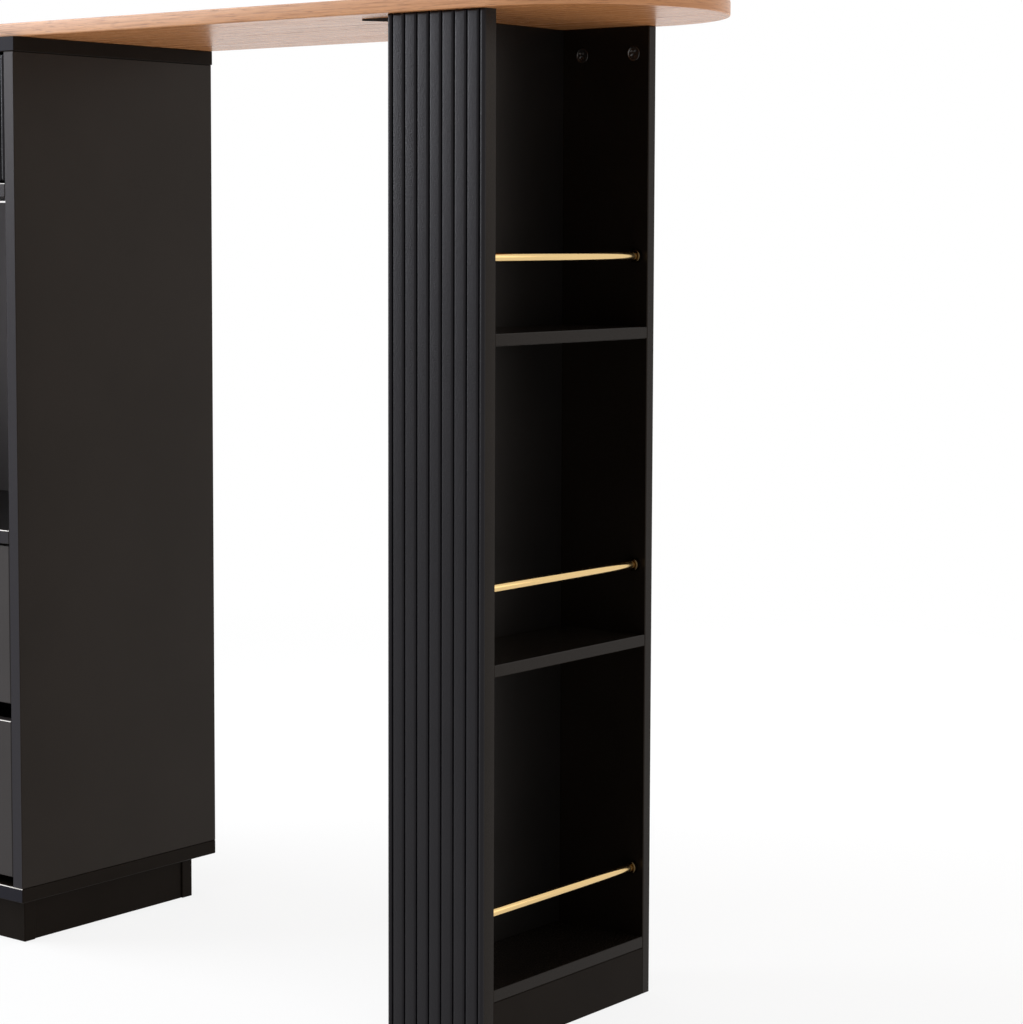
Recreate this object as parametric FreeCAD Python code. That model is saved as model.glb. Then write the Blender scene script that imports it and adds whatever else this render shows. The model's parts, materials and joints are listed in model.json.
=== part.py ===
"""Bar-height kitchen island: a drawer cabinet, a slim shelf tower and one round-ended worktop over both.

Millimetres. +X runs from the cabinet to the tower, -Y is the drawer side, +Z is up.
The origin is on the floor, at the centre of the footprint.
"""
import FreeCAD, Part
import math
import os

Vector = FreeCAD.Vector
X_AXIS, Y_AXIS, Z_AXIS = Vector(1, 0, 0), Vector(0, 1, 0), Vector(0, 0, 1)

# Worktop
length = 1200.0
worktop_thickness = 15.0
underside_height = 1000.0
worktop_setback = 10.0          # worktop's front edge behind the cabinet's front edges
worktop_arris = 1.2

# Boards
arris = 0.8                     # chamfer on every board edge
side_thickness = 16.0
top_panel_thickness = 16.0
bottom_panel_thickness = 16.0
shelf_thickness = 15.0          # drawer divider and niche shelf
back_thickness = 5.0
front_thickness = 15.0
fluted_thickness = 18.0
tower_board = 12.0

# Cabinet
cabinet_width = 408.0           # over the side panels
cabinet_depth = 302.0           # of the side panels
top_overhang = 1.0              # top panel past the sides and their back edges
top_bay = 142.0                 # clear height of the top drawer's bay
lower_bay = 383.0               # clear height of the bay of the two lower drawers
back_inset = 6.0
back_seam_gap = 2.0             # slit between the back sheets, under the divider
plinth_height = 48.0
plinth_board = 16.0
plinth_inset_front = 13.0
plinth_inset_side = 12.0
plinth_inset_back = 28.0
plinth_step = 2.0               # plinth's side boards behind the ends of its front and back

# Drawers
front_recess = 2.0
front_reveal = 2.5
finger_gap = 20.0               # between the two lower fronts
lower_front_gap = 10.5          # under the bottom front
box_back_gap = 31.0             # behind a drawer box and its runners
box_board = 12.0
box_rise = 12.0                 # box's lower edge above the front's lower edge
top_box_height = 100.0
lower_box_height = 135.0
box_bottom = 4.0
groove_depth = 5.0
groove_rise = 8.0

# Drawer runners
runner_gap = 13.0               # between a drawer box and the cabinet's side
runner_height = 35.0
runner_rise = 40.0              # runner's centre line above the box's lower edge
runner_sheet = 1.2
runner_flange = 8.5
running_clearance = 0.3
latch_length = 24.0             # push latch behind the top drawer, which has no grip
latch_height = 14.0
latch_rise = 78.0               # latch's centre line above the box's lower edge
plunger_diameter = 6.0

# Flutes
flute_pitch = 15.3              # about: whole spaces fill the board between its margins
flute_round = 2.5               # ridge shoulders, which is also the depth of the flutes
flute_floor = 1.2
fluted_edge_round = 3.0         # all round the fluted face
outer_ridge_flat = 0.2          # between the outer flutes and the round edges

# Tower
knee_space = 518.0
tower_width = 120.0
kick_height = 49.0
tower_setback = 7.0             # tower's faces inside the worktop's front and back edges
rail_diameter = 9.0
rail_rise = 72.0                # rail's centre line above its shelf
rail_inset = 13.0               # rail's centre line behind the open side
socket_diameter = 13.0
socket_length = 6.0
socket_floor = 2.0              # behind the rail's end

# Fittings
peg_sides = 8                   # dowels, bolts and screw shanks, which lie inside the boards
cap_sides = 16                  # cams and screw heads
socket_sides = 24
dowel_diameter = 6.0
dowel_length = 30.0
dowel_in_face = 8.0
dowel_from_edge = 45.0
shelf_dowel_from_edge = 26.0
cam_diameter = 15.0
cam_depth = 9.0
cam_proud = 0.6
cam_drop = 27.5                 # cam's centre below the worktop
cam_from_side = 23.5            # inner cams from the closed side
cam_from_edge = 19.5            # outer cams from the open side
bolt_diameter = 6.0
bolt_grip = 4.0                 # bolt inside its cam
screw_diameter = 4.0
screw_bite = 10.0
tower_screw_bite = 8.0
screw_head_diameter = 8.0
screw_head = 2.4
worktop_screw_inset = 60.0
bracket_reach = 65.0            # leg under the worktop
bracket_drop = 40.0             # leg on the tower's side
bracket_length = 60.0
bracket_sheet = 1.6
bracket_lip = 4.4               # stiffening lip, deepest at the tower
bracket_inset = 38.0            # bracket's end from the tower's front or back face
bracket_screw_inset = 14.0
bracket_screw_spacing = 24.0    # of the two screws under the worktop

# Places that follow from the sizes
cabinet_x0 = -length / 2 + top_overhang
cabinet_x1 = cabinet_x0 + cabinet_width
bay_x0 = cabinet_x0 + side_thickness
bay_x1 = cabinet_x1 - side_thickness
cabinet_y0 = -(cabinet_depth + top_overhang) / 2
cabinet_y1 = cabinet_y0 + cabinet_depth
back_y1 = cabinet_y1 - back_inset
back_y0 = back_y1 - back_thickness
bottom_top_z = plinth_height + bottom_panel_thickness
side_top_z = underside_height - top_panel_thickness
divider_z1 = side_top_z - top_bay
divider_z0 = divider_z1 - shelf_thickness
niche_shelf_z0 = bottom_top_z + lower_bay
box_y1 = back_y0 - box_back_gap
worktop_y0 = cabinet_y0 + worktop_setback
worktop_y1 = cabinet_y1 + top_overhang      # flush with the cabinet's top panel
worktop_depth = worktop_y1 - worktop_y0
tower_x0 = cabinet_x1 + knee_space
tower_x1 = tower_x0 + tower_width
tower_y0 = worktop_y0 + tower_setback
tower_y1 = worktop_y1 - tower_setback
flute_margin = flute_floor / 2 + flute_round + outer_ridge_flat + fluted_edge_round
hollow_x0 = tower_x0 + tower_board
hollow_y0 = tower_y0 + fluted_thickness
hollow_y1 = tower_y1 - tower_board
shelf_names = ("tower_base_shelf", "tower_lower_shelf", "tower_upper_shelf")
shelf_spacing = (underside_height - kick_height) / len(shelf_names)


def box(x0, x1, y0, y1, z0, z1):
    """A plain block between two corners."""
    return Part.makeBox(x1 - x0, y1 - y0, z1 - z0, Vector(x0, y0, z0))


def board(x0, x1, y0, y1, z0, z1):
    """A block with a small chamfer on all its edges."""
    blank = box(x0, x1, y0, y1, z0, z1)
    return blank.makeChamfer(arris, blank.Edges)


def rod(start, direction, diameter, reach):
    """A round bar from a point along a direction."""
    return Part.makeCylinder(diameter / 2, reach, start, direction)


def prism(sides, start, direction, diameter, reach):
    """A many-sided bar from a point along a direction, for fittings that need few faces."""
    turns = [2 * math.pi * step / sides for step in range(sides + 1)]
    ring = [Vector(math.cos(turn), math.sin(turn), 0) * (diameter / 2) for turn in turns]
    ring[-1] = ring[0]
    bar = Part.Face(Part.makePolygon(ring)).extrude(Z_AXIS * reach)
    bar.Placement = FreeCAD.Placement(start, FreeCAD.Rotation(Z_AXIS, direction))
    return bar


def plate(corners, thickness):
    """A flat plate: an outline of corners, thickened along a vector."""
    return Part.Face(Part.makePolygon(corners + corners[:1])).extrude(thickness)


def dowel(on_face, direction):
    """A dowel across a joint, set into the face and the rest into the board's end."""
    return prism(peg_sides, on_face - direction * dowel_in_face, direction, dowel_diameter, dowel_length)


def drilled(piece, fillers):
    """The piece with a close hole for each dowel, screw or bolt."""
    return piece.cut(Part.makeCompound(fillers))


def save(name, piece):
    piece.exportStep(f"parts/{name}.step")


def round_faced_block(x0, x1, y0, y1, z0, z1):
    """A block whose -Y face has a round upper and lower edge."""
    blank = box(x0, x1, y0, y1, z0, z1)
    front_edges = [edge for edge in blank.Edges if edge.BoundBox.YMax < (y0 + y1) / 2]
    level_edges = [edge for edge in front_edges if edge.BoundBox.ZLength < fluted_edge_round]
    return blank.makeFillet(fluted_edge_round, level_edges)


def fluted_board(x0, x1, y0, y1, z0, z1):
    """A board whose -Y face, round along its edges, is a row of ridges between narrow floors."""
    span = x1 - x0 - 2 * flute_margin
    spaces = round(span / flute_pitch)
    pitch = span / spaces
    half_floor = flute_floor / 2
    midway = math.cos(math.pi / 4)
    bend = flute_round * midway
    edges = []
    at = [Vector(x0, y0 + fluted_edge_round, z0)]

    def line_to(x, y):
        end = Vector(x, y, z0)
        edges.append(Part.LineSegment(at[0], end).toShape())
        at[0] = end

    def arc_to(through_x, through_y, x, y):
        end = Vector(x, y, z0)
        edges.append(Part.Arc(at[0], Vector(through_x, through_y, z0), end).toShape())
        at[0] = end

    edge_bend = fluted_edge_round * (1 - midway)
    arc_to(x0 + edge_bend, y0 + edge_bend, x0 + fluted_edge_round, y0)
    for index in range(spaces + 1):
        centre = x0 + flute_margin + index * pitch
        floor_x0, floor_x1 = centre - half_floor, centre + half_floor
        shoulder_y = y0 + flute_round
        line_to(floor_x0 - flute_round, y0)
        arc_to(floor_x0 - flute_round + bend, shoulder_y - bend, floor_x0, shoulder_y)
        line_to(floor_x1, shoulder_y)
        arc_to(floor_x1 + flute_round - bend, shoulder_y - bend, floor_x1 + flute_round, y0)
    line_to(x1 - fluted_edge_round, y0)
    arc_to(x1 - edge_bend, y0 + edge_bend, x1, y0 + fluted_edge_round)
    line_to(x1, y1)
    line_to(x0, y1)
    line_to(x0, y0 + fluted_edge_round)
    ridges = Part.Face(Part.Wire(edges)).extrude(Vector(0, 0, z1 - z0))
    return ridges.common(round_faced_block(x0, x1, y0, y1, z0, z1))


def worktop_slab():
    """A slab with a square end over the cabinet and a half-round end past the tower."""
    radius = worktop_depth / 2
    mid_y = (worktop_y0 + worktop_y1) / 2
    square_x, round_x = -length / 2, length / 2 - radius
    corners = [Vector(round_x, worktop_y1, underside_height), Vector(square_x, worktop_y1, underside_height),
               Vector(square_x, worktop_y0, underside_height), Vector(round_x, worktop_y0, underside_height)]
    tip = Vector(length / 2, mid_y, underside_height)
    edges = [Part.LineSegment(a, b).toShape() for a, b in zip(corners, corners[1:])]
    edges.append(Part.Arc(corners[3], tip, corners[0]).toShape())
    slab = Part.Face(Part.Wire(edges)).extrude(Vector(0, 0, worktop_thickness))
    flat_edges = [edge for edge in slab.Edges if edge.BoundBox.ZLength < worktop_thickness / 2]
    return slab.makeChamfer(worktop_arris, flat_edges)


def screw(head_seat, direction, bite):
    """A screw: the head stands on its seat and the shank goes along the direction."""
    shank = prism(peg_sides, head_seat, direction, screw_diameter, bite)
    head = prism(cap_sides, head_seat, direction * -1, screw_head_diameter, screw_head)
    return shank.fuse(head).removeSplitter()


def cabinet_dowels():
    """Dowels of the cabinet, listed by the joint that they cross."""
    rows = (cabinet_y0 + dowel_from_edge, cabinet_y1 - dowel_from_edge)
    sides = (cabinet_x0 + side_thickness / 2, cabinet_x1 - side_thickness / 2)
    joints = {"top": [], "bottom": [], "drawer_divider": [], "niche_shelf": []}
    for y in rows:
        for x in sides:
            joints["top"].append(dowel(Vector(x, y, side_top_z), Z_AXIS * -1))
            joints["bottom"].append(dowel(Vector(x, y, bottom_top_z), Z_AXIS))
        for name, z0 in (("drawer_divider", divider_z0), ("niche_shelf", niche_shelf_z0)):
            z = z0 + shelf_thickness / 2
            joints[name].append(dowel(Vector(bay_x0, y, z), X_AXIS))
            joints[name].append(dowel(Vector(bay_x1, y, z), X_AXIS * -1))
    return joints


def build_cabinet(worktop_screws):
    """The carcass, its two back sheets and the plinth."""
    joints = cabinet_dowels()
    all_dowels = sum(joints.values(), [])
    top = board(-length / 2, cabinet_x1 + top_overhang, cabinet_y0, cabinet_y1 + top_overhang,
                side_top_z, underside_height)
    bottom = board(cabinet_x0, cabinet_x1, cabinet_y0, cabinet_y1, plinth_height, bottom_top_z)
    save("cabinet_top_panel", drilled(top, joints["top"] + worktop_screws))
    save("cabinet_bottom_panel", drilled(bottom, joints["bottom"]))
    for name, x0 in (("cabinet_left_side", cabinet_x0), ("cabinet_right_side", bay_x1)):
        side = board(x0, x0 + side_thickness, cabinet_y0, cabinet_y1, bottom_top_z, side_top_z)
        save(name, drilled(side, all_dowels))
    for name, z0 in (("drawer_divider", divider_z0), ("niche_shelf", niche_shelf_z0)):
        shelf = board(bay_x0, bay_x1, cabinet_y0, back_y0, z0, z0 + shelf_thickness)
        save(name, drilled(shelf, joints[name]))
    lower_sheet_z1 = divider_z0 - back_seam_gap
    save("upper_back_sheet", box(bay_x0, bay_x1, back_y0, back_y1, divider_z0, side_top_z))
    save("lower_back_sheet", box(bay_x0, bay_x1, back_y0, back_y1, bottom_top_z, lower_sheet_z1))
    save("cabinet_dowels", Part.makeCompound(all_dowels))
    build_plinth()


def build_plinth():
    """Front and back boards that run the full width, with side boards between them."""
    x0, x1 = cabinet_x0 + plinth_inset_side, cabinet_x1 - plinth_inset_side
    y0, y1 = cabinet_y0 + plinth_inset_front, cabinet_y1 - plinth_inset_back
    inner_y0, inner_y1 = y0 + plinth_board, y1 - plinth_board
    left, right = x0 + plinth_step, x1 - plinth_step
    save("plinth_front", board(x0, x1, y0, inner_y0, 0, plinth_height))
    save("plinth_back", board(x0, x1, inner_y1, y1, 0, plinth_height))
    save("plinth_left", board(left, left + plinth_board, inner_y0, inner_y1, 0, plinth_height))
    save("plinth_right", board(right - plinth_board, right, inner_y0, inner_y1, 0, plinth_height))


def runner_channel(web_x, facing, height, z, y0, y1):
    """A sheet-steel channel: its web stands at web_x and its flanges reach along facing, +1 or -1 in X."""
    points = [(0, -height / 2), (runner_flange, -height / 2), (runner_flange, -height / 2 + runner_sheet),
              (runner_sheet, -height / 2 + runner_sheet), (runner_sheet, height / 2 - runner_sheet),
              (runner_flange, height / 2 - runner_sheet), (runner_flange, height / 2), (0, height / 2)]
    return plate([Vector(web_x + facing * x, y0, z + dz) for x, dz in points], Y_AXIS * (y1 - y0))


def build_drawer(name, front_z0, front_z1, box_height, fluted):
    """A drawer front, the box behind it with its bottom in grooves, and the two pairs of runners."""
    x0, x1 = bay_x0 + front_reveal, bay_x1 - front_reveal
    y0 = cabinet_y0 + front_recess
    box_y0 = y0 + (fluted_thickness if fluted else front_thickness)
    left, right = bay_x0 + runner_gap, bay_x1 - runner_gap
    box_z0 = front_z0 + box_rise
    box_z1 = box_z0 + box_height
    inner_left, inner_right = left + box_board, right - box_board
    inner_y1 = box_y1 - box_board
    sheet_z0 = box_z0 + groove_rise
    sheet = box(inner_left - groove_depth, inner_right + groove_depth,
                box_y0 - groove_depth, inner_y1 + groove_depth, sheet_z0, sheet_z0 + box_bottom)
    make_front = fluted_board if fluted else board
    save(f"{name}_front", make_front(x0, x1, y0, box_y0, front_z0, front_z1).cut(sheet))
    save(f"{name}_left_side", board(left, inner_left, box_y0, box_y1, box_z0, box_z1).cut(sheet))
    save(f"{name}_right_side", board(inner_right, right, box_y0, box_y1, box_z0, box_z1).cut(sheet))
    save(f"{name}_back", board(inner_left, inner_right, inner_y1, box_y1, box_z0, box_z1).cut(sheet))
    save(f"{name}_bottom", sheet)
    runner_z = box_z0 + runner_rise
    inner_height = runner_height - 2 * runner_sheet - 2 * running_clearance
    for side, wall_x, box_x, facing in (("left", bay_x0, left, 1), ("right", bay_x1, right, -1)):
        fixed = runner_channel(wall_x, facing, runner_height, runner_z, box_y0, box_y1)
        moving = runner_channel(box_x, -facing, inner_height, runner_z, box_y0, box_y1)
        save(f"{name}_{side}_fixed_runner", fixed)
        save(f"{name}_{side}_moving_runner", moving)


def push_latch(box_z0):
    """A housing on the cabinet's left side, whose plunger meets the back end of a drawer's side."""
    z = box_z0 + latch_rise
    housing_y0 = back_y0 - latch_length
    housing_x1 = bay_x0 + runner_gap + box_board
    housing = board(bay_x0, housing_x1, housing_y0, back_y0, z - latch_height / 2, z + latch_height / 2)
    tip = Vector(housing_x1 - box_board / 2, box_y1 + running_clearance, z)
    plunger = prism(cap_sides, tip, Y_AXIS, plunger_diameter, housing_y0 - tip.y)
    return housing.fuse(plunger).removeSplitter()


def build_drawers():
    """The fluted drawer under the worktop, and two plain ones that share a finger gap."""
    top_z0 = divider_z1 + front_reveal
    build_drawer("top_drawer", top_z0, side_top_z - front_reveal, top_box_height, True)
    save("push_latch", push_latch(top_z0 + box_rise))
    lower_height = (lower_bay - front_reveal - finger_gap - lower_front_gap) / 2
    bottom_z0 = bottom_top_z + lower_front_gap
    middle_z0 = bottom_z0 + lower_height + finger_gap
    build_drawer("middle_drawer", middle_z0, middle_z0 + lower_height, lower_box_height, False)
    build_drawer("bottom_drawer", bottom_z0, bottom_z0 + lower_height, lower_box_height, False)


def tower_shelves():
    """Lower faces of the tower's shelves, from the base up."""
    return {name: kick_height + level * shelf_spacing for level, name in enumerate(shelf_names)}


def tower_dowels():
    """Dowels that carry each shelf in the front and back panels, listed by shelf."""
    columns = (hollow_x0 + shelf_dowel_from_edge, tower_x1 - shelf_dowel_from_edge)
    joints = {}
    for name, z0 in tower_shelves().items():
        z = z0 + tower_board / 2
        joints[name] = [dowel(Vector(x, hollow_y0, z), Y_AXIS) for x in columns]
        joints[name] += [dowel(Vector(x, hollow_y1, z), Y_AXIS * -1) for x in columns]
    return joints


def cam_fittings():
    """Cam locks in the inner faces of the tower's front and back panels, and their bolts to the worktop."""
    cams, bolts = [], []
    z = underside_height - cam_drop
    bolt_z = z + cam_diameter / 2 - bolt_grip
    bolt_reach = underside_height + screw_bite - bolt_z
    for x in (hollow_x0 + cam_from_side, tower_x1 - cam_from_edge):
        for face_y, out in ((hollow_y0, 1), (hollow_y1, -1)):
            top = Vector(x, face_y + out * cam_proud, z)
            cam = prism(cap_sides, top, Y_AXIS * -out, cam_diameter, cam_proud + cam_depth)
            foot = Vector(x, face_y - out * cam_depth / 2, bolt_z)
            bolt = prism(peg_sides, foot, Z_AXIS, bolt_diameter, bolt_reach)
            cams.append(cam.cut(bolt))
            bolts.append(bolt)
    return cams, bolts


def tower_brackets():
    """Two steel brackets: a three-cornered leg under the worktop, a leg on the tower and a tapered lip."""
    brackets, screws = {}, []
    z1 = underside_height
    z0 = z1 - bracket_sheet
    screw_x = tower_x0 - bracket_screw_inset
    low_z = z1 - bracket_drop + bracket_screw_inset
    square_ends = {"front_angle_bracket": (tower_y0 + bracket_inset, 1),
                   "back_angle_bracket": (tower_y1 - bracket_inset, -1)}
    for name, (y0, inward) in square_ends.items():
        y1 = y0 + inward * bracket_length
        end, corner = Vector(tower_x0 - bracket_reach, y0, z0), Vector(tower_x0, y0, z0)
        leg = plate([end, corner, Vector(tower_x0, y1, z0)], Z_AXIS * bracket_sheet)
        lip = plate([end, corner, corner - Z_AXIS * bracket_lip], Y_AXIS * inward * bracket_sheet)
        web = box(tower_x0 - bracket_sheet, tower_x0, min(y0, y1), max(y0, y1), z1 - bracket_drop, z1)
        brackets[name] = leg.fuse([lip, web]).removeSplitter()
        near_y, far_y = y0 + inward * bracket_screw_inset, y1 - inward * bracket_screw_inset
        for x in (screw_x, screw_x - bracket_screw_spacing):
            screws.append(screw(Vector(x, near_y, z0), Z_AXIS, bracket_sheet + screw_bite))
        for y in (near_y, far_y):
            seat = Vector(tower_x0 - bracket_sheet, y, low_z)
            screws.append(screw(seat, X_AXIS, bracket_sheet + tower_screw_bite))
    return brackets, screws


def build_tower(bracket_screws, cams, bolts):
    """Fluted front, back and closed side, three shelves and a kick board: open on the +X side."""
    joints = tower_dowels()
    all_dowels = sum(joints.values(), [])
    front = fluted_board(tower_x0, tower_x1, tower_y0, hollow_y0, 0, underside_height)
    back = board(tower_x0, tower_x1, hollow_y1, tower_y1, 0, underside_height)
    save("tower_fluted_front", drilled(front, all_dowels + cams + bolts))
    save("tower_back_panel", drilled(back, all_dowels + cams + bolts))
    closed_side = board(tower_x0, hollow_x0, hollow_y0, hollow_y1, 0, underside_height)
    save("tower_closed_side", drilled(closed_side, bracket_screws))
    for name, z0 in tower_shelves().items():
        shelf = board(hollow_x0, tower_x1, hollow_y0, hollow_y1, z0, z0 + tower_board)
        save(name, drilled(shelf, joints[name]))
    save("tower_kick_board", board(tower_x1 - tower_board, tower_x1, hollow_y0, hollow_y1, 0, kick_height))
    save("tower_dowels", Part.makeCompound(all_dowels))


def build_guard_rails():
    """A round rail across the open side above each shelf, its ends in round cups on the panels."""
    x = tower_x1 - rail_inset
    bore_diameter = rail_diameter / math.cos(math.pi / socket_sides)
    sockets = []
    for name, z0 in tower_shelves().items():
        z = z0 + tower_board + rail_rise
        start = Vector(x, hollow_y0 + socket_floor, z)
        rail = rod(start, Y_AXIS, rail_diameter, hollow_y1 - hollow_y0 - 2 * socket_floor)
        save(name.replace("shelf", "guard_rail"), rail)
        for face_y, out in ((hollow_y0, 1), (hollow_y1, -1)):
            seat = Vector(x, face_y, z)
            cup = prism(socket_sides, seat, Y_AXIS * out, socket_diameter, socket_length)
            bore_start = seat + Y_AXIS * out * socket_floor
            bore = prism(socket_sides, bore_start, Y_AXIS * out, bore_diameter, socket_length)
            sockets.append(cup.cut(bore))
    save("rail_sockets", Part.makeCompound(sockets))


def cabinet_screws():
    """Screws up through the cabinet's top panel into the worktop."""
    columns = (bay_x0 + worktop_screw_inset, bay_x1 - worktop_screw_inset)
    rows = (worktop_y0 + worktop_screw_inset, back_y0 - worktop_screw_inset)
    bite = top_panel_thickness + screw_bite
    return [screw(Vector(x, y, side_top_z), Z_AXIS, bite) for x in columns for y in rows]


def main():
    os.makedirs("parts", exist_ok=True)
    worktop_screws = cabinet_screws()
    brackets, bracket_screws = tower_brackets()
    cams, bolts = cam_fittings()
    save("worktop", drilled(worktop_slab(), worktop_screws + bracket_screws + bolts))
    build_cabinet(worktop_screws)
    build_drawers()
    build_tower(bracket_screws, cams, bolts)
    build_guard_rails()
    for name, bracket in brackets.items():
        save(name, drilled(bracket, bracket_screws))
    save("worktop_screws", Part.makeCompound(worktop_screws))
    save("bracket_screws", Part.makeCompound(bracket_screws))
    save("cam_locks", Part.makeCompound(cams))
    save("cam_bolts", Part.makeCompound(bolts))


main()
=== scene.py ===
# %% [markdown]
# # A bar-height kitchen island
# A drawer cabinet, a slim fluted shelf tower and one round-ended oak worktop over both. The solids come
# packed, in metres, with the floor at z = 0, and keep their places. This lesson gives each of them its
# finish, and makes anew the few pieces that need a finer surface than the solids have: the worktop, the
# fluted fronts, the guard rails with their cups, the cam locks and the screw heads.

# %% Load the frame
import json
import math
import bpy
import numpy as np
from mathutils import Matrix, Vector


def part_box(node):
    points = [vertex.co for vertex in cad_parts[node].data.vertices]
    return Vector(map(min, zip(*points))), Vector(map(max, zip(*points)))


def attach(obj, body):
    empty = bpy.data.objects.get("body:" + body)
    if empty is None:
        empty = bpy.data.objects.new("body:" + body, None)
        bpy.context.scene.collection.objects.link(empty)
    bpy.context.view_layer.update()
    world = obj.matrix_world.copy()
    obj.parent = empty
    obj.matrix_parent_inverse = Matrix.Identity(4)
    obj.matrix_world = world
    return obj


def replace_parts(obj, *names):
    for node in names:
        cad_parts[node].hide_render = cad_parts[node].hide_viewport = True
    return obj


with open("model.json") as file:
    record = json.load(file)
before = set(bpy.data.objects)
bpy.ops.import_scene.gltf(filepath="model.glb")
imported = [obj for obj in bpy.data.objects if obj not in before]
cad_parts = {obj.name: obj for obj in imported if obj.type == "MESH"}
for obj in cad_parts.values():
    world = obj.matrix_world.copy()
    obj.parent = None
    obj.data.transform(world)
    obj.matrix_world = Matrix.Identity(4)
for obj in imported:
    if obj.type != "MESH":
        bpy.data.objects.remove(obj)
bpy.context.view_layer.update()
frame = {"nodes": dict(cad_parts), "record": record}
nodes = frame["nodes"]


# %% [markdown]
# ## Meshes from arrays
# The new pieces are boards, bars and turned fittings. They could be modelled by hand with loop cuts and
# bevels, but each follows a short formula: one parameter runs along the piece and the other round it. So
# every piece is a grid of points that closes on itself, with its first and last rows as flat ends. The
# faces of all such grids follow one pattern, so one helper makes each mesh.

# %% Helpers for grids
QUAD = 4


def grid_faces(rows, columns):
    """Quads of a grid that closes round its columns, each between two columns and two rows."""
    row, column = np.meshgrid(np.arange(rows - 1), np.arange(columns), indexing="ij")
    after = (column + 1) % columns
    here, above = row * columns, (row + 1) * columns
    corners = [here + column, here + after, above + after, above + column]
    return np.stack(corners, axis=-1).reshape(-1, QUAD)


def capped(rows, columns):
    """Faces of a closed grid with its first and last rows as flat ends, all pointing outwards."""
    first = list(range(columns))[::-1]
    last = list(range((rows - 1) * columns, rows * columns))
    return [*grid_faces(rows, columns).tolist(), first, last]


def add_piece(name, points, faces, body, slot, material):
    """A mesh object that rides on a body: its quads are shaded smooth, its many-sided ends flat."""
    mesh = bpy.data.meshes.new(name)
    mesh.from_pydata(points.reshape(-1, 3).tolist(), [], faces)
    mesh.polygons.foreach_set("use_smooth", [len(face) == QUAD for face in faces])
    mesh.update()
    mesh.materials.append(material)
    piece = bpy.data.objects.new(name, mesh)
    bpy.context.collection.objects.link(piece)
    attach(piece, body)
    return piece


print("a closed grid of 3 rows and 5 columns has", len(capped(3, 5)), "faces")


# %% [markdown]
# ## Shader nodes in code
# A material's pattern is a chain of small nodes, which could be wired by hand in the shader editor. In
# code, one short function for each kind of node keeps a chain readable: it takes what comes in and gives
# back the output to use next.

# %% Helpers for single nodes
# a Mix node keeps its colour sockets after those for numbers and vectors
MIX_FACTOR, MIX_FIRST, MIX_SECOND, MIX_RESULT = 0, 6, 7, 2


def feed(tree, socket, value):
    """Link another node's output to a socket, or write a plain number or colour on it."""
    if hasattr(value, "is_output"):
        tree.links.new(value, socket)
    else:
        socket.default_value = value


def noise_node(tree, vector, scale, detail, roughness=0.5):
    """Soft noise around 0.5; the scale is its cycles per unit of the vector."""
    node = tree.nodes.new("ShaderNodeTexNoise")
    given = {"Vector": vector, "Scale": scale, "Detail": detail, "Roughness": roughness}
    for name, value in given.items():
        feed(tree, node.inputs[name], value)
    return node.outputs["Fac"]


def stretched(tree, vector, scale):
    """The vector times one factor per axis, so that a pattern is drawn out along an axis."""
    node = tree.nodes.new("ShaderNodeMapping")
    node.inputs["Scale"].default_value = scale
    tree.links.new(vector, node.inputs["Vector"])
    return node.outputs["Vector"]


def math_node(tree, operation, first, second):
    """Two values put together by one operation, such as ADD or MULTIPLY."""
    node = tree.nodes.new("ShaderNodeMath")
    node.operation = operation
    feed(tree, node.inputs[0], first)
    feed(tree, node.inputs[1], second)
    return node.outputs["Value"]


def ramp_node(tree, value, low, high, to_low=0.0, to_high=1.0):
    """The range from low to high laid evenly onto another range; a value outside stays at its end."""
    node = tree.nodes.new("ShaderNodeMapRange")
    limits = {"Value": value, "From Min": low, "From Max": high, "To Min": to_low, "To Max": to_high}
    for name, number in limits.items():
        feed(tree, node.inputs[name], number)
    return node.outputs["Result"]


def mix_colour(tree, factor, first, second):
    """The first colour where the factor is 0, the second where it is 1, and a mixture between."""
    node = tree.nodes.new("ShaderNodeMix")
    node.data_type = "RGBA"
    for index, value in ((MIX_FACTOR, factor), (MIX_FIRST, first), (MIX_SECOND, second)):
        feed(tree, node.inputs[index], value)
    return node.outputs[MIX_RESULT]


print("single nodes: noise, stretch, math, ramp, mix")


# %% [markdown]
# ## Shared effects
# Three effects serve the finishes: a fine pebble, a mask for faces that look one way, and the figure of
# oak. Each is a node group with named sockets, built once and placed where it is needed. The groups only
# put out values and colours; the shader itself stays in each material, where its plain numbers are easy
# to find.
#
# The pebble comes first. Foil and paint are never mirror-flat: fine pebbles scatter the highlight, and
# the tone drifts a little over a board. A picture could hold that, but noise stays sharp at any distance
# and needs no UV map. One noise at pebble size gives the bump, and a much slower one gives the drift.

# %% The fine pebble group
VECTOR, NUMBER, COLOUR = "NodeSocketVector", "NodeSocketFloat", "NodeSocketColor"
DRIFT_SCALE = 9.0


def new_group(name, inputs, outputs):
    """An empty shader group with named sockets, and the nodes that hold its inputs and outputs."""
    group = bpy.data.node_groups.new(name, "ShaderNodeTree")
    for in_out, sockets in (("INPUT", inputs), ("OUTPUT", outputs)):
        for socket, kind in sockets.items():
            group.interface.new_socket(name=socket, in_out=in_out, socket_type=kind)
    return group, group.nodes.new("NodeGroupInput"), group.nodes.new("NodeGroupOutput")


def make_pebble():
    """Two noises, one at pebble size and one much larger, give a bump height and a slow unevenness."""
    group, given, put = new_group("fine_pebble", {"Vector": VECTOR, "Scale": NUMBER},
                                  {"Height": NUMBER, "Unevenness": NUMBER})
    vector = given.outputs["Vector"]
    pebble = noise_node(group, vector, given.outputs["Scale"], detail=2.0, roughness=0.55)
    drift = noise_node(group, vector, DRIFT_SCALE, detail=3.0)
    group.links.new(pebble, put.inputs["Height"])
    group.links.new(drift, put.inputs["Unevenness"])
    return group


pebble_group = make_pebble()
print("group", pebble_group.name)


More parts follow.
